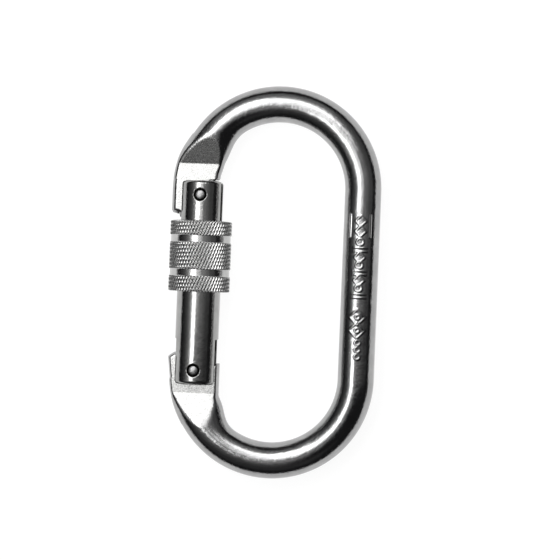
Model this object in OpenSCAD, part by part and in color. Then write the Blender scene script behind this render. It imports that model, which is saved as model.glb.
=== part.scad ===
// Oval steel carabiner with a knurled screw-locking sleeve.
// It lies flat: X runs across from the gate (-X) to the spine (+X), Y runs along the
// oval towards the nose, and Z is the thickness. The origin is the centre of the
// bounding box's underside, where the sleeve touches the surface it lies on.

/* [Frame] */
// Overall length of the oval
frame_length = 108; // [104:0.5:114]
// Diameter of the round rod
rod_d = 10; // [9.5:0.1:10.2]
// Radius of the rod's centre line round each bow
bow_radius = 23.2; // [23:0.1:24]
// Thickness of the two flattened ends
tab_t = 4.7; // [4.2:0.1:4.8]
// Length of the slope between a flattened end and the round rod
ramp_run = 8; // [7:0.5:9]
// Height of the nose's shoulder above the oval's middle
nose_shoulder_y = 31.8; // [31.5:0.1:32.5]
// Depth of the hinge end's shoulder below the oval's middle
hinge_shoulder_y = 31.4; // [31.2:0.1:32]

/* [Gate] */
// Diameter of the gate bar
gate_d = 12; // [11.9:0.1:12.2]
// Distance of the gate's axis from the oval's middle
gate_offset = 21.1; // [21:0.1:21.4]
// Depth of the hinge rivet below the oval's middle
hinge_depth = 25; // [24.8:0.1:25.2]
// Height of the latch pin above the oval's middle
latch_height = 23.2; // [23:0.1:23.4]
// Width of the slots that take the flattened ends
slot_w = 5; // [4.95:0.05:5.2]
// Diameter of the hinge rivet and of the latch pin
pin_d = 3; // [2.8:0.1:3.2]
// Running clearance round the hinge rivet
pin_clearance = 0.04; // [0.02:0.01:0.08]
// Largest swing of the gate in degrees
gate_swing = 30; // [20:1:30]

/* [Sleeve] */
// Diameter over the knurling
sleeve_d = 17; // [16.6:0.1:17.2]
// Length of the sleeve
sleeve_length = 19.5; // [19:0.1:20]
// Height of the sleeve's upper edge above the oval's middle
sleeve_top_y = 16.1; // [15.8:0.1:16.2]
// Depth of the two smooth grooves
groove_depth = 0.25; // [0.1:0.05:0.4]
// Pitch of the screw thread
thread_pitch = 1.5; // [1.5:0.25:1.5]
// Height of the rolled thread above the gate bar
thread_height = 0.5; // [0.3:0.05:0.5]

/* [Spring] */
// Wire diameter of the gate spring
wire_d = 0.8; // [0.6:0.05:0.8]
// Outer diameter of the gate spring
spring_d = 5.2; // [5:0.1:5.4]
// Number of turns of the gate spring
spring_turns = 8; // [6:1:9]

/* [Hidden] */
$fn = 64;
eps = 0.01;
rod_r = rod_d / 2;
gate_r = gate_d / 2;
sleeve_r = sleeve_d / 2;
pin_r = pin_d / 2;
tab_z = tab_t / 2;
slot_z = slot_w / 2;
bow_y = frame_length / 2 - bow_radius - rod_r;
outer_r = bow_radius + rod_r;
gate_x = -gate_offset;
hinge_y = -hinge_depth;
// The gate bar's ends and slots
gate_top_y = latch_height + 3.95;
gate_bottom_y = hinge_y - 3.9;
gate_round = 1;
nose_slot_y = 14;
hinge_slot_y = hinge_y + 8.5;
sink_r = pin_r + 0.35;
// The spring's bore in the gate bar
bore_r = 3.05;
bore_end_y = hinge_slot_y + 16.3;
// The thread on the gate bar
thread_start_y = -2.2;
thread_turns = 10;
thread_r = gate_r + thread_height;
// The sleeve's inside
sleeve_bottom_y = sleeve_top_y - sleeve_length;
sleeve_bore_r = thread_r + 0.1;
lip_r = 7.4;
lip_depth = 2.5;
sleeve_bevel = 0.4;
band_r = 7.2;
band_y = sleeve_bottom_y + 11.6;
band_length = 4.4;
fit = 0.05;
// Lengths of the knurled and smooth zones, from the upper edge down
zones = [4, 1.9, 7.4, 1.9];
// The link that carries the spring's push to the hinge end, measured from the hinge rivet
ear_y = 2.1;
link_t = 4.6;
link_foot_y = ear_y + fit;
link_right = 4.7;
link_left = 3.6;
bridge_y = [3.9, 5.1];
blade_x = 1.7;
head_r = bore_r - fit;
head_y = [8.7, 10.7];
spigot_r = 1.65;
spigot_length = 3;
// The bounding box's middle lies at the origin
mid_x = (outer_r + gate_x - sleeve_r) / 2;

// Points of an arc about c from angle a0 to a1
function arc(c, r, a0, a1, n) =
    [for (i = [0:n]) c + r * [cos(a0 + (a1 - a0) * i / n), sin(a0 + (a1 - a0) * i / n)]];

// Moves a part from the oval's middle plane to its place over the origin
module placed() {
    translate([-mid_x, 0, sleeve_r]) children();
}

// Turns a shape of revolution about Z so that it runs along the gate bar from height y
module along_gate(y) {
    translate([gate_x, y, 0]) rotate([-90, 0, 0]) children();
}

// Outline of the nose: the outer arc, the tongue, the latch notch and the inner cut
module nose_outline() {
    edge_x = gate_x - 8.35;
    edge_r = 25.5;
    root_y = bow_y - 0.8;
    difference() {
        polygon(concat(
            arc([edge_x + edge_r, root_y], edge_r, 143.5, 180, 12),
            [[edge_x, 19], [gate_x - 8, 18.2], [gate_x - 6.2, 17.75], [gate_x - 6, 17.1]],
            [[gate_x - 5.8, 17], [gate_x + 2.3, 17], [gate_x + 3, 17.7]],
            [[gate_x + 3.1, 27.2], [gate_x + 4.1, 28.6], [gate_x + 5, 29.8], [gate_x + 5.4, 30.9]],
            [[gate_x + 5.5, 33.4], [gate_x + 6.1, 35.8], [gate_x + 7.6, 38.4]]
        ));
        latch_notch();
    }
}

// Notch that the latch pin swings out of, with a seat that hooks it under load
module latch_notch() {
    seat_r = pin_r + 0.25;
    translate([gate_x - 0.05, latch_height - 0.1]) circle(r = seat_r);
    polygon([
        [gate_x, latch_height + seat_r],
        [gate_x, latch_height - seat_r + 0.1],
        [gate_x + 5, latch_height - seat_r - 0.2],
        [gate_x + 5, latch_height + seat_r]
    ]);
}

// Outline of the hinge end, with the ear that the spring link pushes on
module hinge_outline() {
    polygon(concat(
        arc([0, -bow_y], outer_r, 210.5, 184.5, 8),
        [[gate_x - 7.8, hinge_y + 3.5], [gate_x - 7.3, hinge_y + 4]],
        [[gate_x - 6.1, hinge_y + 4.8], [gate_x - 4.4, hinge_y + 4.9]],
        [[gate_x - 2.9, hinge_y + 3.3], [gate_x + 3, hinge_y + 3.3], [gate_x + 3.2, hinge_y + ear_y]],
        [[gate_x + 6.65, hinge_y + ear_y], [gate_x + 6.65, hinge_y - 6], [gate_x + 6.2, hinge_y - 7.4]],
        [[gate_x + 6.2, hinge_y - 8.6], [gate_x + 6.8, hinge_y - 11], [gate_x + 7.8, hinge_y - 13.2]]
    ));
}

// What the forging takes off above one flattened end: level up to the shoulder, then sloping
module ramp_cut(shoulder) {
    rise = rod_r - tab_z;
    steep = 1.3;
    translate([gate_x - 12, 0, 0]) rotate([90, 0, 90]) linear_extrude(24)
        polygon([
            [10, tab_z],
            [shoulder, tab_z],
            [shoulder + ramp_run * steep, tab_z + rise * steep],
            [10, tab_z + rise * steep]
        ]);
}

module both_faces() {
    children();
    mirror([0, 0, 1]) children();
}

// Half a turn of round rod at one end of the oval
module bow() {
    translate([0, bow_y, 0]) rotate_extrude(angle = 180)
        translate([bow_radius, 0]) circle(r = rod_r);
}

module frame() {
    color("silver") placed() difference() {
        union() {
            difference() {
                union() {
                    bow();
                    mirror([0, 1, 0]) bow();
                    translate([bow_radius, -bow_y, 0]) rotate([-90, 0, 0])
                        cylinder(h = 2 * bow_y, r = rod_r);
                }
                both_faces() ramp_cut(nose_shoulder_y);
                mirror([0, 1, 0]) both_faces() ramp_cut(hinge_shoulder_y);
            }
            translate([0, 0, -tab_z]) linear_extrude(tab_t) nose_outline();
            translate([0, 0, -tab_z]) linear_extrude(tab_t) hinge_outline();
        }
        translate([gate_x, hinge_y, -tab_t]) cylinder(h = 2 * tab_t, r = pin_r + pin_clearance);
    }
}

// Half section of the gate bar, with its rounded ends and the crests of the thread
module gate_section() {
    length = gate_top_y - gate_bottom_y;
    start = thread_start_y - gate_bottom_y;
    p = thread_pitch;
    crests = [for (i = [0:thread_turns - 1]) each [
        [gate_r, start + i * p],
        [thread_r, start + (i + 0.3) * p],
        [thread_r, start + (i + 0.45) * p],
        [gate_r, start + (i + 0.75) * p]
    ]];
    polygon(concat(
        [[0, 0], [gate_r - gate_round, 0]],
        arc([gate_r - gate_round, gate_round], gate_round, -70, 0, 4),
        crests,
        arc([gate_r - gate_round, length - gate_round], gate_round, 0, 70, 4),
        [[gate_r - gate_round, length], [0, length]]
    ));
}

// Hole through the gate bar for a pin, sunk at both ends
module pin_hole(y) {
    translate([gate_x, y, -gate_r - 1]) cylinder(h = gate_d + 2, r = pin_r);
    both_faces() translate([gate_x, y, gate_r - 0.45]) cylinder(h = 2, r = sink_r);
}

module gate() {
    slot_x = gate_x - gate_r - 2;
    color("gainsboro") placed() difference() {
        along_gate(gate_bottom_y) rotate_extrude() gate_section();
        translate([slot_x, nose_slot_y, -slot_z]) cube([gate_d + 4, 20, slot_w]);
        translate([slot_x, hinge_slot_y - 20, -slot_z]) cube([gate_d + 4, 20, slot_w]);
        along_gate(hinge_slot_y - 1) cylinder(h = bore_end_y - hinge_slot_y + 1, r = bore_r);
        pin_hole(latch_height);
        pin_hole(hinge_y);
    }
}

// Half section of the sleeve: grooves outside; thread recess and widened lip inside
module sleeve_section() {
    groove_r = sleeve_r - groove_depth;
    top = sleeve_length;
    groove_1 = top - zones[0];
    groove_2 = groove_1 - zones[1] - zones[2];
    recess = band_y - sleeve_bottom_y;
    polygon([
        [sleeve_bore_r, 0],
        [sleeve_r - sleeve_bevel, 0],
        [sleeve_r, sleeve_bevel],
        [sleeve_r, groove_2 - zones[3]],
        [groove_r, groove_2 - zones[3]],
        [groove_r, groove_2],
        [sleeve_r, groove_2],
        [sleeve_r, groove_1 - zones[1]],
        [groove_r, groove_1 - zones[1]],
        [groove_r, groove_1],
        [sleeve_r, groove_1],
        [sleeve_r, top - sleeve_bevel],
        [sleeve_r - sleeve_bevel, top],
        [lip_r, top],
        [lip_r, top - lip_depth],
        [sleeve_bore_r, top - lip_depth],
        [sleeve_bore_r, recess + band_length],
        [band_r + fit, recess + band_length],
        [band_r + fit, recess],
        [sleeve_bore_r, recess]
    ]);
}

module locking_sleeve() {
    color("darkgray") placed() along_gate(sleeve_bottom_y) rotate_extrude() sleeve_section();
}

// Ring of the sleeve that carries the inner thread, level with the crests of the gate's thread
module sleeve_thread() {
    color("gray") placed() along_gate(band_y + fit) difference() {
        cylinder(h = band_length - 2 * fit, r = band_r);
        translate([0, 0, -1]) cylinder(h = band_length + 2, r = thread_r + fit);
    }
}

// Headless pin with a domed end at each face of the gate bar
module domed_pin(y) {
    half = gate_r - 0.5;
    dome = 0.35;
    dome_r = (pin_r * pin_r + dome * dome) / (2 * dome);
    translate([gate_x, y, -half]) cylinder(h = 2 * half, r = pin_r);
    both_faces() intersection() {
        translate([gate_x, y, half + dome - dome_r]) sphere(r = dome_r);
        translate([gate_x, y, half]) cylinder(h = 1, r = pin_r);
    }
}

module hinge_rivet() {
    color("lightgray") placed() domed_pin(hinge_y);
}

module latch_pin() {
    color("lightgray") placed() domed_pin(latch_height);
}

// Coil of round wire between the link's head and the end of the gate's bore
module gate_spring() {
    sides = 8;
    steps = 20;
    wire_r = wire_d / 2;
    coil_r = spring_d / 2 - wire_r;
    first = hinge_y + head_y[1] + wire_r + fit;
    last = bore_end_y - wire_r - fit;
    rings = spring_turns * steps;
    points = [for (i = [0:rings], k = [0:sides - 1])
        let (turn = 360 * i / steps, side = 360 * k / sides, r = coil_r + wire_r * cos(side))
        [r * sin(turn), first + (last - first) * i / rings + wire_r * sin(side), r * cos(turn)]];
    walls = [for (i = [0:rings - 1], k = [0:sides - 1])
        let (a = i * sides + k, b = i * sides + (k + 1) % sides)
        [a, b, b + sides, a + sides]];
    start_cap = [for (k = [sides - 1:-1:0]) k];
    end_cap = [for (k = [0:sides - 1]) rings * sides + k];
    color("dimgray") placed() translate([gate_x, 0, 0])
        polyhedron(points, concat([start_cap, end_cap], walls), 4);
}

// Flat link with a foot on the hinge end's ear and a round head in the spring's bore
module spring_link() {
    color("slategray") placed() translate([gate_x, hinge_y, 0]) {
        translate([0, 0, -link_t / 2]) linear_extrude(link_t)
            polygon([
                [link_left, link_foot_y],
                [link_right, link_foot_y],
                [link_right, bridge_y[1]],
                [blade_x, bridge_y[1]],
                [blade_x, head_y[0] + 0.5],
                [-blade_x, head_y[0] + 0.5],
                [-blade_x, bridge_y[0]],
                [link_left, bridge_y[0]]
            ]);
        translate([0, head_y[0], 0]) rotate([-90, 0, 0])
            cylinder(h = head_y[1] - head_y[0], r = head_r);
        translate([0, head_y[1] - eps, 0]) rotate([-90, 0, 0])
            cylinder(h = spigot_length, r = spigot_r);
    }
}

frame();
gate();
locking_sleeve();
sleeve_thread();
hinge_rivet();
latch_pin();
gate_spring();
spring_link();
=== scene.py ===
"""Oval steel carabiner with a knurled screw-locking sleeve, lying on a pale table."""

import math

import bpy
import numpy as np
from mathutils import Matrix, Vector

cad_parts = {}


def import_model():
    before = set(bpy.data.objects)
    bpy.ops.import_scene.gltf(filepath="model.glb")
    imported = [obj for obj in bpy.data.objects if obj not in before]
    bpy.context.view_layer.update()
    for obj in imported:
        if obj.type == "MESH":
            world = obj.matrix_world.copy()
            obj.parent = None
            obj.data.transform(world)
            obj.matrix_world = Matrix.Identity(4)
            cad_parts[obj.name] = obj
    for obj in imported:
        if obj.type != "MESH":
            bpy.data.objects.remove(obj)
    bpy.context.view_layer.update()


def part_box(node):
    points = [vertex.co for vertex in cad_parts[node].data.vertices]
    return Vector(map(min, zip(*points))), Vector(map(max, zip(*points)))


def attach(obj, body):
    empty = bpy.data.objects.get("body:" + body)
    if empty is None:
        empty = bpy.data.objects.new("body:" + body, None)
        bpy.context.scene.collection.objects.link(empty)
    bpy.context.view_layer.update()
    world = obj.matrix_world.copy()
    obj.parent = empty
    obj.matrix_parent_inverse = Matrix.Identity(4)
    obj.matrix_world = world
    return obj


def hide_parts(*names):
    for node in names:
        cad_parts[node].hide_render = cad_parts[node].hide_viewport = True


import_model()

# ---------------------------------------------------------------- sizes
# Shapes are worked out in millimetres, with Z measured from the carabiner's middle plane,
# and a mesh goes back to metres when it is made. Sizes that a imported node's box shows are
# read from it. The rest are typed in: most repeat part.scad, and a few refine its shapes.
# The studio and the camera are laid out in metres.
MM = 0.001


def node_box(name):
    """Corners of a CAD node in millimetres, as (low, high) arrays."""
    low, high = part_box(name)
    return np.array(low) / MM, np.array(high) / MM


frame_lo, frame_hi = node_box("frame")
sleeve_lo, sleeve_hi = node_box("locking_sleeve")
gate_lo, gate_hi = node_box("gate")
rivet_lo, rivet_hi = node_box("hinge_rivet")
latch_lo, latch_hi = node_box("latch_pin")
band_lo, band_hi = node_box("sleeve_thread")
spring_lo, spring_hi = node_box("gate_spring")
link_lo, link_hi = node_box("spring_link")

MID_Z = (sleeve_lo[2] + sleeve_hi[2]) / 2
GATE_X = (sleeve_lo[0] + sleeve_hi[0]) / 2
HINGE_Y = (rivet_lo[1] + rivet_hi[1]) / 2
LATCH_Y = (latch_lo[1] + latch_hi[1]) / 2
PIN_R = (rivet_hi[0] - rivet_lo[0]) / 2
PIN_HALF = (rivet_hi[2] - rivet_lo[2]) / 2

ROD_R = (frame_hi[2] - frame_lo[2]) / 2
BOW_R = 23.2
OVAL_X = frame_hi[0] - ROD_R - BOW_R
BOW_Y = frame_hi[1] - ROD_R - BOW_R
TAB_Z = 2.35
NOSE_EDGE_R = 3.0
HINGE_EDGE_R = 4.1
NOSE_SHOULDER = 31.8
HINGE_SHOULDER = 31.4
RAMP_RUN = 8.0
RAMP_SLOPE = (ROD_R - TAB_Z) / RAMP_RUN
# The rod's ends lie to the left of this line, measured from the oval's middle
ENDS_X = -6

THREAD_R = (gate_hi[0] - gate_lo[0]) / 2
THREAD_PITCH = 1.5
GATE_R = THREAD_R - 0.5
GATE_TOP, GATE_BOTTOM = gate_hi[1], gate_lo[1]
SLOT_Z = 2.5
NOSE_SLOT_Y = 14.0
HINGE_SLOT_Y = HINGE_Y + 8.5
SINK_R = PIN_R + 0.28
BORE_R = 3.05
BORE_END = HINGE_SLOT_Y + 16.3
THREAD_START, THREAD_END = -2.2, 12.9

SLEEVE_R = (sleeve_hi[0] - sleeve_lo[0]) / 2
SLEEVE_TOP, SLEEVE_BOTTOM = sleeve_hi[1], sleeve_lo[1]
GROOVE_R = SLEEVE_R - 0.25
BAND_LOW, BAND_HIGH = band_lo[1], band_hi[1]


def half_box(low, high):
    """A node's box in millimetres with its height measured from the middle plane."""
    return low - [0, 0, MID_Z], high - [0, 0, MID_Z]


# ---------------------------------------------------------------- distance fields
# A solid is a function of x, y and z that is negative inside and grows with distance.


def blend_in(a, b, k):
    """Union of two solids with a soft fillet about k wide."""
    h = np.maximum(k - np.abs(a - b), 0) / k
    return np.minimum(a, b) - h * h * k / 4


def round_cut(a, b, r):
    """Intersection of two solids with its edges rounded to radius r."""
    outside = np.hypot(np.maximum(a + r, 0), np.maximum(b + r, 0))
    return np.minimum(np.maximum(a, b), -r) + outside


def ease(t):
    """Smooth step from 0 to 1."""
    t = np.clip(t, 0, 1)
    return t * t * (3 - 2 * t)


def polygon_field(x, y, points):
    """Signed distance to a closed outline in the XY plane."""
    best = np.full(np.broadcast(x, y).shape, 1e9)
    inside = np.zeros(best.shape, bool)
    for (ax, ay), (bx, by) in zip(points, points[1:] + points[:1]):
        ex, ey = bx - ax, by - ay
        wx, wy = x - ax, y - ay
        t = np.clip((wx * ex + wy * ey) / (ex * ex + ey * ey), 0, 1)
        best = np.minimum(best, (wx - t * ex) ** 2 + (wy - t * ey) ** 2)
        if ay != by:
            crosses = (ay > y) != (by > y)
            inside ^= crosses & (x < ax + (y - ay) * ex / ey)
    return np.where(inside, -1, 1) * np.sqrt(best)


def arc(cx, cy, r, start, end, n):
    """Points of an arc in degrees."""
    turns = np.radians(np.linspace(start, end, n + 1))
    return [(cx + r * math.cos(a), cy + r * math.sin(a)) for a in turns]


# ---------------------------------------------------------------- meshing


def crossings(values, axis_a, axis_b, axis_c, found):
    """Mean of the points where a cell's edges cross the surface, for the cells found."""
    i, j, k = found
    total = np.zeros((len(i), 3))
    count = np.zeros(len(i))
    corners = np.array([(a, b, c) for a in (0, 1) for b in (0, 1) for c in (0, 1)])
    place = {tuple(corner): n for n, corner in enumerate(corners)}
    at_corner = np.stack([values[i + a, j + b, k + c] for a, b, c in corners])
    grid = np.stack([axis_a[i], axis_b[j], axis_c[k]], 1)
    step = np.array([axis_a[1] - axis_a[0], axis_b[1] - axis_b[0], axis_c[1] - axis_c[0]])
    for near in corners:
        for axis in range(3):
            if near[axis]:
                continue
            far = near.copy()
            far[axis] = 1
            start, end = at_corner[place[tuple(near)]], at_corner[place[tuple(far)]]
            hit = (start < 0) != (end < 0)
            t = np.where(hit, start / np.where(hit, start - end, 1), 0)
            point = grid + step * (near + (far - near) * t[:, None])
            total += point * hit[:, None]
            count += hit
    return total / count[:, None]


def settle(field, points, rounds):
    """Moves points onto the surface of a solid by Newton steps of limited length."""
    h = 0.02
    least_slope, reach = 0.05, 0.3
    for _ in range(rounds):
        x, y, z = points.T
        value = field(x, y, z)
        slope = np.stack(
            [
                field(x + h, y, z) - field(x - h, y, z),
                field(x, y + h, z) - field(x, y - h, z),
                field(x, y, z + h) - field(x, y, z - h),
            ],
            1,
        ) / (2 * h)
        size = np.maximum((slope**2).sum(1), least_slope)
        points = points - np.clip(value / size, -reach, reach)[:, None] * slope
    return points


def solid_mesh(name, field, low, high, step):
    """Mesh of a solid: one vertex in each grid cell the surface crosses, then evened out.

    The field is worked out a slab at a time, to save memory.
    """
    axes = [np.arange(a - step * 1.5, b + step * 2.5, step) for a, b in zip(low, high)]
    values = np.empty([len(a) for a in axes], np.float32)
    slab = 24
    for s in range(0, len(axes[1]), slab):
        y = axes[1][s:s + slab]
        values[:, s:s + slab] = field(axes[0][:, None, None], y[None, :, None], axes[2])
    inside = values < 0
    count = np.zeros([n - 1 for n in inside.shape], np.int8)
    for a in (0, 1):
        for b in (0, 1):
            for c in (0, 1):
                count += inside[
                    a:a + count.shape[0], b:b + count.shape[1], c:c + count.shape[2]
                ]
    found = np.nonzero((count > 0) & (count < 8))
    index = np.full(count.shape, -1, np.int64)
    index[found] = np.arange(len(found[0]))
    points = crossings(values, *axes, found)
    quads = []
    for axis in range(3):
        u, w = [a for a in range(3) if a != axis]
        one = np.take(inside, range(inside.shape[axis] - 1), axis)
        two = np.take(inside, range(1, inside.shape[axis]), axis)
        cells = np.stack(np.nonzero(one != two), 1)
        cells = cells[(cells[:, u] > 0) & (cells[:, w] > 0)]
        leaves = one[tuple(cells.T)]
        corners = []
        for du, dw in ((1, 1), (0, 1), (0, 0), (1, 0)):
            c = cells.copy()
            c[:, u] -= du
            c[:, w] -= dw
            corners.append(index[tuple(c.T)])
        quad = np.stack(corners, 1)
        turn = leaves if axis != 1 else ~leaves
        quads.append(np.where(turn[:, None], quad, quad[:, ::-1]))
    quads = np.concatenate(quads)
    quads = quads[(quads >= 0).all(1)]
    points = settle(field, points, 2)
    evenings = 2
    for _ in range(evenings):
        pairs = np.concatenate([quads[:, [0, 1]], quads[:, [1, 2]], quads[:, [2, 3]], quads[:, [3, 0]]])
        pairs = np.concatenate([pairs, pairs[:, ::-1]])
        degree = np.maximum(np.bincount(pairs[:, 0], minlength=len(points)), 1)
        mean = np.stack(
            [np.bincount(pairs[:, 0], points[pairs[:, 1], a], len(points)) for a in range(3)], 1
        ) / degree[:, None]
        points = settle(field, points * 0.5 + mean * 0.5, 2)
    return make_object(name, points, quads)


def make_object(name, points, faces):
    """Smooth-shaded object from points in millimetres, measured from the middle plane."""
    mesh = bpy.data.meshes.new(name)
    points = (np.asarray(points) + [0, 0, MID_Z]) * MM
    faces = np.asarray(faces)
    mesh.vertices.add(len(points))
    mesh.vertices.foreach_set("co", points.ravel())
    mesh.loops.add(faces.size)
    mesh.loops.foreach_set("vertex_index", faces.ravel().astype(np.int32))
    mesh.polygons.add(len(faces))
    starts = np.arange(0, faces.size, faces.shape[1], dtype=np.int32)
    mesh.polygons.foreach_set("loop_start", starts)
    mesh.polygons.foreach_set("use_smooth", np.ones(len(faces), bool))
    mesh.update(calc_edges=True)
    mesh.validate()
    return show(mesh)


def mixed_object(name, points, faces):
    """The same for faces that differ in their number of corners."""
    mesh = bpy.data.meshes.new(name)
    mesh.from_pydata([tuple(p) for p in (points + [0, 0, MID_Z]) * MM], [], faces)
    mesh.polygons.foreach_set("use_smooth", np.ones(len(faces), bool))
    mesh.update()
    return show(mesh)


def show(mesh):
    """Puts a mesh in the scene as an object of the same name."""
    obj = bpy.data.objects.new(mesh.name, mesh)
    bpy.context.scene.collection.objects.link(obj)
    return obj


def turned_mesh(name, radius, y, around):
    """Closed ring about the gate's axis, from the rows of its section.

    y is a column with each row's height. radius(turn) gives a row of radii for each of
    them at the turns, 0 to 1, round the axis, so a row can carry a pattern.
    """
    turn = np.linspace(0, 1, around, endpoint=False)
    r = radius(turn[None, :])
    angle = 2 * math.pi * turn
    points = np.stack(
        [GATE_X + r * np.sin(angle), np.broadcast_to(y, r.shape), r * np.cos(angle)], -1
    ).reshape(-1, 3)
    a = np.arange(len(r))[:, None] * around
    b = np.roll(a, -1, 0)
    i = np.arange(around)
    j = np.roll(i, -1)
    quads = np.stack([a + i, a + j, b + j, b + i], -1).reshape(-1, 4)
    return make_object(name, points, quads)


# ---------------------------------------------------------------- frame


def nose_outline():
    """Outline of the nose: the outer arc, the tongue and the inner cut."""
    g = GATE_X
    edge = g - 8.35
    root = BOW_Y - 0.8
    return (
        arc(edge + 25.5, root, 25.5, 143.5, 180, 12)
        + [(edge, 19), (g - 8, 18.2), (g - 6.2, 17.75), (g - 6, 17.1)]
        + [(g - 5.8, 17), (g + 2.3, 17), (g + 3, 17.7)]
        + [(g + 3.1, 27.2), (g + 4.1, 28.6), (g + 5, 29.8), (g + 5.4, 30.9)]
        + [(g + 5.5, 33.4), (g + 6.1, 35.8), (g + 7.6, 38.4)]
    )


def hinge_outline():
    """Outline of the hinge end, with the ear that the spring link pushes on."""
    g, h = GATE_X, HINGE_Y
    return (
        arc(OVAL_X, -BOW_Y, BOW_R + ROD_R, 210.5, 184.5, 8)
        + [(g - 7.8, h + 3.5), (g - 7.3, h + 4), (g - 6.1, h + 4.8), (g - 4.4, h + 4.9)]
        + [(g - 2.9, h + 3.3), (g + 3, h + 3.3), (g + 3.2, h + 2.1), (g + 6.65, h + 2.1)]
        + [(g + 6.65, h - 6), (g + 6.2, h - 7.4), (g + 6.2, h - 8.6)]
        + [(g + 6.8, h - 11), (g + 7.8, h - 13.2)]
    )


def latch_notch(x, y):
    """The notch that the latch pin swings out of, with a seat that hooks it."""
    seat = PIN_R + 0.25
    hole = np.hypot(x - GATE_X + 0.05, y - LATCH_Y + 0.1) - seat
    way = polygon_field(
        x,
        y,
        [
            (GATE_X, LATCH_Y + seat),
            (GATE_X, LATCH_Y - seat + 0.1),
            (GATE_X + 5, LATCH_Y - seat - 0.2),
            (GATE_X + 5, LATCH_Y + seat),
        ],
    )
    return np.minimum(hole, way)


def bulge(thick, r):
    """How far a flattened end's side stands back from its widest line, as squeezed steel does."""
    return r - np.sqrt(np.maximum(r * r - thick**2, 0.5))


def ring_mark(u, v, cu, cv, r):
    return np.abs(np.hypot(u - cu, v - cv) - r)


def bar_mark(u, v, cu, cv, half_u, half_v):
    return np.hypot(np.maximum(np.abs(u - cu) - half_u, 0), np.maximum(np.abs(v - cv) - half_v, 0))


def diamond_mark(u, v, cu, cv, half):
    return np.abs((np.abs(u - cu) + np.abs(v - cv) - half) * 0.7071)


def stamped_marks(x, y):
    """Distance to the nearest stroke of the stamped pattern: plain shapes down the spine."""
    u = x - OVAL_X - BOW_R
    no_stroke = 9.0
    near = np.full(np.broadcast(x, y).shape, no_stroke)
    for side in (-2.9, 2.6):
        near = np.minimum(near, bar_mark(u, y, side, 16.3, 0, 3.1))
    near = np.minimum(near, diamond_mark(u, y, 0, 17.6, 1.5))
    near = np.minimum(near, diamond_mark(u, y, 0, 14.8, 1.5))
    row_top, row_step = 11.9, 2.1
    for n in range(8):
        v = row_top - row_step * n
        if n % 3 == 0:
            near = np.minimum(near, ring_mark(u, y, 0, v, 0.95))
        elif n % 3 == 1:
            near = np.minimum(near, bar_mark(u, y, 0, v + 0.5, 1.9, 0))
            near = np.minimum(near, bar_mark(u, y, 0, v - 0.5, 1.9, 0))
        else:
            near = np.minimum(near, diamond_mark(u, y, 0, v, 1.5))
    for v in (-8.6, -12.2):
        near = np.minimum(near, diamond_mark(u, y, 0, v, 2.2))
        near = np.minimum(near, ring_mark(u, y, 0, v, 0.6))
    for n in range(3):
        near = np.minimum(near, ring_mark(u, y, 0.3, -15.6 - 1.9 * n, 0.75))
    return near


# The rod is squeezed wider and shifted inwards before it meets a flattened end
SQUEEZE_START, SQUEEZE_RUN = 41.5, 8.5
SQUEEZE_WIDTH = 0.27
NOSE_SHIFT, HINGE_SHIFT = 0.4, 1.2
FLAT_BEGINS = 27.5
STAMP_DEPTH, STROKE_REACH, STROKE_FLANK = 0.11, 0.31, 0.18
NO_CUT = -9.0


def frame_field(x, y, z):
    """The bent rod with its two flattened ends."""
    side = x - OVAL_X
    height = np.abs(y)
    thick = np.abs(z)
    at_ends = ease((SQUEEZE_START - height) / SQUEEZE_RUN) * (side < 0)
    shift = np.where(y > 0, NOSE_SHIFT, HINGE_SHIFT) * at_ends
    rho = np.hypot(side, y - np.clip(y, -BOW_Y, BOW_Y))
    across = (rho - BOW_R + shift) / (1 + SQUEEZE_WIDTH * at_ends)
    rod = np.hypot(across, z) - ROD_R
    stamp = ease((STROKE_REACH - stamped_marks(x, y)) / STROKE_FLANK) * (z > 2)
    rod = rod - STAMP_DEPTH * stamp
    shoulder = np.where(y > 0, NOSE_SHOULDER, HINGE_SHOULDER)
    ramp = (thick - TAB_Z - RAMP_SLOPE * (height - shoulder)) / math.hypot(1, RAMP_SLOPE)
    flat = np.minimum(thick - TAB_Z, ramp)
    cut = np.where(side < ENDS_X, np.maximum(flat, FLAT_BEGINS - height), NO_CUT)
    rod = round_cut(rod, cut, 0.45)
    back = bulge(thick, NOSE_EDGE_R) * ease((y - 16) / 3)
    nose = polygon_field(x, y, nose_outline()) + back
    nose = round_cut(nose, -latch_notch(x, y), 0.2)
    hinge = polygon_field(x, y, hinge_outline()) + bulge(thick, HINGE_EDGE_R)
    outline = np.where(y > 0, nose, hinge)
    tab = round_cut(outline, thick - TAB_Z, 0.3)
    hole = PIN_R + 0.04 - np.hypot(x - GATE_X, y - HINGE_Y)
    tab = round_cut(tab, hole, 0.12)
    body = blend_in(rod, tab, 0.5)
    return np.where(side < ENDS_X, np.maximum(body, flat), body)


# ---------------------------------------------------------------- gate


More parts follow.
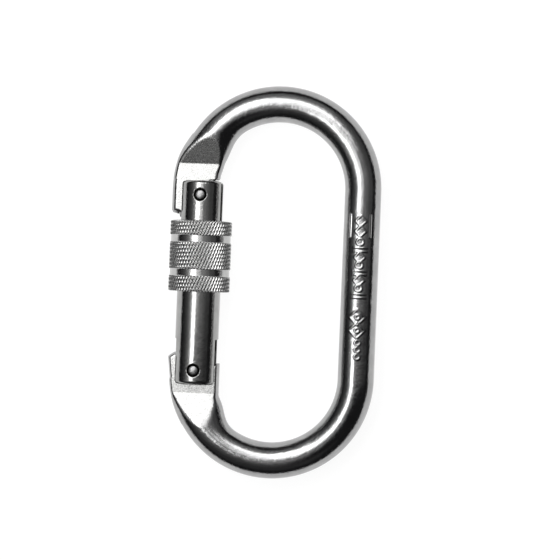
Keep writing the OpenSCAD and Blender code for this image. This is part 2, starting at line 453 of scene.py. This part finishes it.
def gate_field(x, y, z):
    """The gate bar: rounded ends, rolled helical thread, two slots, spring bore, pin holes."""
    side = x - GATE_X
    r = np.hypot(side, z)
    turn = np.arctan2(side, z) / (2 * math.pi)
    phase = (y - THREAD_START) / THREAD_PITCH - turn
    wave = np.abs((phase % 1) - 0.5) * 2
    runout = 1.2
    fade = ease((y - THREAD_START) / runout) * ease((THREAD_END - y) / runout)
    crest = (THREAD_R - GATE_R) * fade * ease((0.75 - wave) / 0.6)
    bar = round_cut(r - GATE_R - crest * 0.98, np.maximum(y - GATE_TOP, GATE_BOTTOM - y), 1.0)
    thick = np.abs(z)
    nose_slot = np.maximum(thick - SLOT_Z, NOSE_SLOT_Y - y)
    hinge_slot = np.maximum(thick - SLOT_Z, y - HINGE_SLOT_Y)
    bar = round_cut(bar, -nose_slot, 0.18)
    bar = round_cut(bar, -hinge_slot, 0.18)
    bore = np.maximum(r - BORE_R, y - BORE_END)
    bore = np.maximum(bore, HINGE_SLOT_Y - 1 - y)
    bar = np.maximum(bar, -bore)
    for pin_y in (LATCH_Y, HINGE_Y):
        reach = np.hypot(side, y - pin_y)
        bar = np.maximum(bar, PIN_R + 0.02 - reach)
        bar = np.maximum(bar, np.minimum(SINK_R - reach, thick - GATE_R + 1))
    return bar


# ---------------------------------------------------------------- sleeve


KNURL_STARTS, KNURL_ANGLE, KNURL_DEPTH = 60, 23, 0.28
# Each hand of the knurl's grooves with its share of the depth: one hand is made shallower,
# to look like the photo, where a real diamond knurl cuts both alike
KNURL_HANDS = ((-1, 1.0), (1, 0.6))


def knurl(turn, y):
    """Depth of the diamond pattern below the crest, from 0 to 1."""
    lean = math.tan(math.radians(KNURL_ANGLE)) / (2 * math.pi * SLEEVE_R)
    depth = 0
    for hand, share in KNURL_HANDS:
        phase = (turn + hand * y * lean) * KNURL_STARTS
        groove = 1 - np.abs((phase % 1) - 0.5) * 2
        depth = np.maximum(depth, share * ease((groove - 0.12) / 0.88))
    return depth


def sleeve_rows():
    """Section of the sleeve as rows of (radius, height, knurl strength), closed."""
    zones = [4.0, 1.9, 7.4, 1.9]
    row_step, end_bevel, groove_bevel = 0.09, 0.5, 0.16
    top, bottom = SLEEVE_TOP, SLEEVE_BOTTOM
    edges = top - np.cumsum([0] + zones)
    knurled = [(bottom, edges[4]), (edges[3], edges[2]), (edges[1], edges[0])]
    rows = []
    for low, high in knurled:
        if low > bottom:
            rows += [(GROOVE_R, low - 0.14, 0), (GROOVE_R, low - 0.02, 0)]
        steps = int(round((high - low) / row_step))
        for i in range(steps + 1):
            y = low + (high - low) * i / steps
            side = min(y - low, high - y)
            end = low == bottom and y - low < 1 or high == top and high - y < 1
            bevel = end_bevel if end else groove_bevel
            drop = max(0, 1 - side / bevel)
            outer = SLEEVE_R - bevel * (1 - math.sqrt(max(0, 1 - drop * drop)))
            rows.append((outer, y, 1 if side > 0 else 0))
        if high < top:
            rows += [(GROOVE_R, high + 0.02, 0), (GROOVE_R, high + 0.14, 0)]
    lip, bore, recess = 7.4, THREAD_R + 0.1, 7.25
    fit = 0.05
    band_low, band_high = BAND_LOW - fit, BAND_HIGH + fit
    inner = [(lip + 0.15, top), (lip, top - 0.15), (lip, top - 2.35), (lip - 0.15, top - 2.5)]
    inner += [(bore + 0.1, top - 2.5), (bore, top - 2.6), (bore, band_high), (recess, band_high)]
    inner += [(recess, band_low), (bore, band_low), (bore, bottom + 0.2), (bore + 0.2, bottom)]
    return rows + [(r, y, 0) for r, y in inner]


def sleeve_object():
    """The knurled sleeve with its two smooth grooves and its stepped bore."""
    crest, y, strength = np.split(np.array(sleeve_rows()), 3, axis=1)

    def radius(turn):
        return crest - KNURL_DEPTH * strength * knurl(turn, y)

    return turned_mesh("sleeve_body", radius, y, 960)


def thread_ring():
    """The sleeve's inner thread: a ring with a helical groove in its bore."""
    outer, bevel = 7.2, 0.1
    bore_heights = np.linspace(BAND_HIGH, BAND_LOW, 48)
    rows = [(outer, BAND_LOW + bevel), (outer, BAND_HIGH - bevel), (outer - bevel, BAND_HIGH)]
    rows += [(0, height) for height in bore_heights] + [(outer - bevel, BAND_LOW)]
    wall, y = np.split(np.array(rows), 2, axis=1)

    def radius(turn):
        phase = (y / THREAD_PITCH - turn) % 1
        wave = np.abs(phase - 0.5) * 2
        groove = THREAD_R + 0.06 + 0.3 * ease(1 - wave * 1.6)
        return np.where(wall > 0, wall, groove)

    return turned_mesh("sleeve_inner_thread", radius, y, 192)


# ---------------------------------------------------------------- pins, spring, link


def pin_object(name, y):
    """Headless pin: straight shank, small shoulder and a peened dome at each face."""
    dome_r, dome_height, dome_steps = PIN_R * 0.86, 0.32, 12
    half = []
    for i in range(dome_steps + 1):
        a = math.radians(90 * i / dome_steps)
        half.append((dome_r * math.sin(a), PIN_HALF - dome_height * (1 - math.cos(a))))
    half += [(dome_r + 0.04, PIN_HALF - 0.5), (PIN_R - 0.03, PIN_HALF - 0.9)]
    half += [(PIN_R, PIN_HALF - 1)]
    section = half + [(r, -h) for r, h in reversed(half)]
    around = 64
    angle = np.linspace(0, 2 * math.pi, around, endpoint=False)
    rings = [
        np.stack([GATE_X + r * np.cos(angle), y + r * np.sin(angle), h + 0 * angle], 1)
        for r, h in section[1:-1]
    ]
    points = np.concatenate(rings + [[[GATE_X, y, PIN_HALF]], [[GATE_X, y, -PIN_HALF]]])
    i = np.arange(around)
    j = np.roll(i, -1)
    walls = [
        np.stack([low + i, low + around + i, low + around + j, low + j], 1)
        for low in range(0, (len(rings) - 1) * around, around)
    ]
    last = (len(rings) - 1) * around
    tip, end = last + around, last + around + 1
    caps = [np.stack([tip + 0 * i, i, j], 1), np.stack([end + 0 * i, last + j, last + i], 1)]
    faces = [tuple(f) for f in np.concatenate(walls)] + [tuple(f) for f in np.concatenate(caps)]
    return mixed_object(name, points, faces)


def spring_object():
    """Round wire coil with its end turns closed up, as a real compression spring has."""
    wire = 0.4
    coil = (spring_hi[0] - spring_lo[0]) / 2 - wire
    turns, steps, sides = 8, 48, 14
    first, last = spring_lo[1] + wire, spring_hi[1] - wire
    t = np.linspace(0, 1, turns * steps + 1)
    closed, closed_rise = 0.85 / turns, 0.9
    open_share = np.clip((t - closed) / (1 - 2 * closed), 0, 1)
    rise = 0.5 * np.minimum(t / closed, 1) + 0.5 * np.clip((t - 1 + closed) / closed, 0, 1)
    y = first + (last - first - closed_rise) * open_share + closed_rise * rise
    angle = 2 * math.pi * turns * t
    side = 2 * math.pi * np.arange(sides) / sides
    r = coil + wire * np.cos(side)[None, :]
    points = np.stack(
        [
            GATE_X + r * np.sin(angle)[:, None],
            y[:, None] + wire * np.sin(side)[None, :],
            r * np.cos(angle)[:, None],
        ],
        -1,
    ).reshape(-1, 3)
    rows = len(t)
    a = np.arange(rows - 1)[:, None] * sides
    k = np.arange(sides)
    k_next = np.roll(k, -1)
    walls = np.stack([a + k, a + sides + k, a + sides + k_next, a + k_next], -1)
    faces = [tuple(f) for f in walls.reshape(-1, 4)]
    faces += [tuple(range(sides)), tuple(reversed((rows - 1) * sides + k))]
    return mixed_object("gate_spring_coil", points, faces)


def link_field(x, y, z):
    """Stamped link with a round head and spigot."""
    u, v = x - GATE_X, y - HINGE_Y
    outline = polygon_field(
        u,
        v,
        [(3.6, 2.15), (4.7, 2.15), (4.7, 5.1), (1.7, 5.1)]
        + [(1.7, 9.2), (-1.7, 9.2), (-1.7, 3.9), (3.6, 3.9)],
    )
    blade = round_cut(outline, np.abs(z) - 2.3, 0.2)
    r = np.hypot(u, z)
    head = round_cut(r - 3.0, np.abs(v - 9.7) - 1.0, 0.2)
    spigot = round_cut(r - 1.65, np.abs(v - 11.9) - 1.8, 0.3)
    return np.minimum(np.minimum(blade, head), spigot)


# ---------------------------------------------------------------- materials


def steel(name, color, rough, grain, grain_size, waves, brushed=None, pits=0.0):
    """Plated steel: fine grain in its relief and gloss, slow waves, and patches of tone.

    grain, waves and pits are bump strengths, and grain_size is in millimetres. brushed
    scales the grain along X, Y and Z.
    """
    mat = bpy.data.materials.new(name)
    mat.use_nodes = True
    tree = mat.node_tree
    nodes, links = tree.nodes, tree.links
    shader = nodes["Principled BSDF"]
    shader.inputs["Metallic"].default_value = 1.0
    place = nodes.new("ShaderNodeTexCoord")
    scale = nodes.new("ShaderNodeMapping")
    scale.inputs["Scale"].default_value = brushed or (1, 1, 1)
    links.new(place.outputs["Object"], scale.inputs["Vector"])

    def noise(size_mm, detail, source):
        node = nodes.new("ShaderNodeTexNoise")
        node.inputs["Scale"].default_value = 1 / (size_mm * MM)
        node.inputs["Detail"].default_value = detail
        node.inputs["Roughness"].default_value = 0.6
        links.new(source, node.inputs["Vector"])
        return node.outputs["Fac"]

    fine = noise(grain_size, 3, scale.outputs["Vector"])
    wave_size, patch_size = 2.2, 5.0
    slow = noise(wave_size, 2, place.outputs["Object"])
    patch = noise(patch_size, 4, place.outputs["Object"])

    tint = nodes.new("ShaderNodeValToRGB")
    tint.color_ramp.elements[0].position = 0.3
    tint.color_ramp.elements[0].color = [c * 0.86 for c in color] + [1]
    tint.color_ramp.elements[1].position = 0.7
    tint.color_ramp.elements[1].color = [min(1, c * 1.06) for c in color] + [1]
    links.new(patch, tint.inputs["Fac"])
    links.new(tint.outputs["Color"], shader.inputs["Base Color"])

    gloss = nodes.new("ShaderNodeMapRange")
    gloss.inputs["From Min"].default_value = 0.3
    gloss.inputs["From Max"].default_value = 0.7
    gloss.inputs["To Min"].default_value = rough * 0.75
    gloss.inputs["To Max"].default_value = rough * 1.35
    links.new(fine, gloss.inputs["Value"])
    links.new(gloss.outputs["Result"], shader.inputs["Roughness"])

    soft = nodes.new("ShaderNodeBump")
    soft.inputs["Strength"].default_value = waves
    soft.inputs["Distance"].default_value = 0.2 * MM
    links.new(slow, soft.inputs["Height"])
    sharp = nodes.new("ShaderNodeBump")
    sharp.inputs["Strength"].default_value = grain
    sharp.inputs["Distance"].default_value = 0.15 * MM
    links.new(fine, sharp.inputs["Height"])
    links.new(soft.outputs["Normal"], sharp.inputs["Normal"])
    last = sharp
    if pits:
        dots = nodes.new("ShaderNodeTexVoronoi")
        dots.inputs["Scale"].default_value = 1 / (0.7 * MM)
        links.new(place.outputs["Object"], dots.inputs["Vector"])
        pit = nodes.new("ShaderNodeMapRange")
        pit.inputs["From Max"].default_value = 0.25
        links.new(dots.outputs["Distance"], pit.inputs["Value"])
        last = nodes.new("ShaderNodeBump")
        last.inputs["Strength"].default_value = pits
        last.inputs["Distance"].default_value = 0.03 * MM
        links.new(pit.outputs["Result"], last.inputs["Height"])
        links.new(sharp.outputs["Normal"], last.inputs["Normal"])
    links.new(last.outputs["Normal"], shader.inputs["Normal"])
    return mat


def paint_faces(obj, material, chosen):
    """Gives a second material to the faces whose middles pass chosen(x, y, z), in millimetres."""
    mesh = obj.data
    mesh.materials.append(material)
    middle = np.empty(len(mesh.polygons) * 3)
    mesh.polygons.foreach_get("center", middle)
    x, y, z = middle.reshape(-1, 3).T / MM
    mask = chosen(x, y, np.abs(z - MID_Z))
    mesh.polygons.foreach_set("material_index", mask.astype(np.int32))
    mesh.update()


def pressed(x, y, thick):
    """The flattened ends and their ramps, left rough by the press."""
    height = np.abs(y)
    shoulder = np.where(y > 0, NOSE_SHOULDER, HINGE_SHOULDER)
    level = TAB_Z + RAMP_SLOPE * np.maximum(height - shoulder, 0)
    return (np.abs(thick - level) < 0.05) & (x < OVAL_X + ENDS_X) & (level < ROD_R)


def in_sink(x, y, thick):
    """The ring round each pin's head, which is painted near-black as shade."""
    reach = np.minimum(np.abs(y - LATCH_Y), np.abs(y - HINGE_Y))
    return (np.hypot(x - GATE_X, reach) < SINK_R + 0.03) & (thick > GATE_R - 1.5)


def below_dome(x, y, thick):
    """The part of a pin that lies under its dome, painted near-black as shade."""
    return thick < PIN_HALF - 0.36


def finish_piece(obj, material, body, node):
    """Gives a piece its material and puts it on its body in place of a CAD node."""
    obj.data.materials.append(material)
    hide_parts(node)
    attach(obj, body)


# ---------------------------------------------------------------- build

rod_steel = steel("rod_steel", (0.37, 0.37, 0.37), 0.11, 0.2, 0.35, 0.3, pits=0.6)
pressed_steel = steel("pressed_steel", (0.36, 0.36, 0.355), 0.26, 0.2, 0.4, 0.12, pits=0.2)
gate_steel = steel("gate_steel", (0.36, 0.36, 0.355), 0.11, 0.16, 0.35, 0.2, pits=0.6)
sleeve_steel = steel("sleeve_steel", (0.48, 0.48, 0.475), 0.14, 0.12, 0.25, 0.1)
pin_steel = steel("pin_steel", (0.28, 0.28, 0.28), 0.3, 0.25, 0.3, 0.15)
# Painted shade: near-black colour standing in for the shadow in the sunk ring round each pin head and
# on the pins below their domes
painted_crevice_shade = steel("painted_crevice_shade", (0.03, 0.028, 0.025), 0.6, 0.6, 0.2, 0.4)
spring_steel = steel("spring_steel", (0.36, 0.37, 0.39), 0.28, 0.3, 0.2, 0.3)
link_steel = steel("link_steel", (0.38, 0.39, 0.41), 0.32, 0.6, 0.2, 0.4, (1, 0.2, 1))


# Grid steps of the three field meshes
rod_step, bar_step = ((0.2, 0.15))
link_step = 0.15

rod = solid_mesh("frame_rod", frame_field, *half_box(frame_lo, frame_hi), rod_step)
finish_piece(rod, rod_steel, "frame_body", "frame")
paint_faces(rod, pressed_steel, pressed)
bar = solid_mesh("gate_bar", gate_field, *half_box(gate_lo, gate_hi), bar_step)
finish_piece(bar, gate_steel, "gate_body", "gate")
# Painted shade: the sunk ring round each pin head is coloured near-black
paint_faces(bar, painted_crevice_shade, in_sink)
finish_piece(sleeve_object(), sleeve_steel, "sleeve_body", "locking_sleeve")
finish_piece(thread_ring(), sleeve_steel, "sleeve_carriage", "sleeve_thread")
for pin_name, pin_y, pin_node in (
    ("hinge_pin", HINGE_Y, "hinge_rivet"),
    ("latch_cross_pin", LATCH_Y, "latch_pin"),
):
    pin = pin_object(pin_name, pin_y)
    finish_piece(pin, pin_steel, "gate_body", pin_node)
    # Painted shade: the pin below its dome is coloured near-black
    paint_faces(pin, painted_crevice_shade, below_dome)
finish_piece(spring_object(), spring_steel, "link_body", "gate_spring")
link_mesh = solid_mesh("link_plate", link_field, *half_box(link_lo, link_hi), link_step)
finish_piece(link_mesh, link_steel, "link_body", "spring_link")


# ---------------------------------------------------------------- table, light and camera


def table_top():
    """Plain pale floor under the carabiner."""
    reach = 3.0
    corners = [(-reach, -reach, 0), (reach, -reach, 0), (reach, reach, 0), (-reach, reach, 0)]
    mesh = bpy.data.meshes.new("table_top")
    mesh.from_pydata(corners, [], [(0, 1, 2, 3)])
    floor = show(mesh)
    mat = bpy.data.materials.new("table_white")
    mat.use_nodes = True
    shader = mat.node_tree.nodes["Principled BSDF"]
    shader.inputs["Base Color"].default_value = (0.2, 0.2, 0.2, 1)
    shader.inputs["Roughness"].default_value = 0.9
    shader.inputs["Specular IOR Level"].default_value = 0.1
    shader.inputs["Emission Color"].default_value = (1, 1, 1, 1)
    shader.inputs["Emission Strength"].default_value = 0.93
    floor.data.materials.append(mat)


PANEL_Z = 0.4


def light_panel(name, left, right, low, high, glow):
    """Level light panel over the table, spanning X and Y in metres; glow sets its radiance."""
    data = bpy.data.lights.new(name, "AREA")
    data.shape = "RECTANGLE"
    data.size = right - left
    data.size_y = high - low
    data.energy = glow * math.pi * data.size * data.size_y
    light = bpy.data.objects.new(name, data)
    light.location = ((left + right) / 2, (low + high) / 2, PANEL_Z)
    bpy.context.scene.collection.objects.link(light)


def studio_lights():
    """A bright softbox up and to the left, its fading edge, and a dim room.

    The panels were laid out, guided by a map of the rod's tones in the photo, so
    that the reflections fall about where the photo has them. They suit that view only.
    """
    light_panel("key", -0.2, -0.065, 0.0, 0.34, 4.8)
    light_panel("key_foot", -0.2, -0.075, -0.09, 0.0, 4.8)
    light_panel("key_top", -0.06, 0.12, 0.15, 0.32, 3.4)
    light_panel("key_mid", -0.06, 0.04, 0.06, 0.15, 2.4)
    light_panel("key_side", -0.06, 0.05, 0.0, 0.06, 1.4)
    light_panel("key_heel", -0.075, 0.05, -0.09, 0.0, 0.3)
    light_panel("right_top", 0.12, 0.2, 0.15, 0.34, 0.5)
    light_panel("right_near", 0.05, 0.2, -0.05, 0.15, 0.3)
    light_panel("right_mid", 0.2, 0.35, -0.05, 0.45, 0.18)
    light_panel("right_far", 0.35, 0.9, -0.05, 0.9, 0.09)
    light_panel("left_near", -0.29, -0.2, -0.085, 0.34, 0.7)
    light_panel("left_mid", -0.42, -0.29, -0.085, 0.34, 0.26)
    light_panel("left_far", -0.65, -0.42, -0.085, 0.34, 0.09)
    light_panel("left_end", -1.1, -0.65, -0.085, 0.34, 0.04)
    light_panel("up_near", -0.4, 0.2, 0.34, 0.46, 0.6)
    light_panel("up_far", -0.8, 0.35, 0.46, 0.95, 0.25)
    light_panel("low_near", -0.5, 0.04, -0.13, -0.085, 0.5)
    light_panel("low_mid", -0.6, 0.04, -0.21, -0.13, 0.22)
    light_panel("low_far", -0.6, 0.04, -0.35, -0.21, 0.08)
    light_panel("low_end", -0.8, 0.3, -0.8, -0.35, 0.03)


def camera():
    """Nearly straight down from the spine's side, turned so that the oval leans right."""
    lean, tilt = math.radians(2.3), math.radians(5.0)
    distance, view_width, sensor = 0.6, 0.1541, 36
    aim_x, aim_y = OVAL_X + 1.28, 0.7
    target = Vector((aim_x * MM, aim_y * MM, MID_Z * MM))
    back = Vector((math.sin(tilt), 0, math.cos(tilt)))
    across = Vector((math.cos(tilt), 0, -math.sin(tilt)))
    along = Vector((0, 1, 0))
    right = across * math.cos(lean) + along * math.sin(lean)
    up = along * math.cos(lean) - across * math.sin(lean)
    data = bpy.data.cameras.new("camera")
    data.sensor_width = sensor
    data.lens = sensor * distance / view_width
    data.clip_start = 0.01
    data.clip_end = 20
    cam = bpy.data.objects.new("camera", data)
    cam.matrix_world = Matrix(
        (
            (right.x, up.x, back.x, target.x + back.x * distance),
            (right.y, up.y, back.y, target.y + back.y * distance),
            (right.z, up.z, back.z, target.z + back.z * distance),
            (0, 0, 0, 1),
        )
    )
    bpy.context.scene.collection.objects.link(cam)
    bpy.context.scene.camera = cam


def world():
    """Dim room."""
    room = bpy.data.worlds.new("room")
    bpy.context.scene.world = room
    room.use_nodes = True
    background = room.node_tree.nodes["Background"]
    background.inputs["Color"].default_value = (0.02, 0.02, 0.021, 1)
    background.inputs["Strength"].default_value = 1.0


table_top()
studio_lights()
camera()
world()
bpy.context.scene.view_settings.view_transform = "Standard"
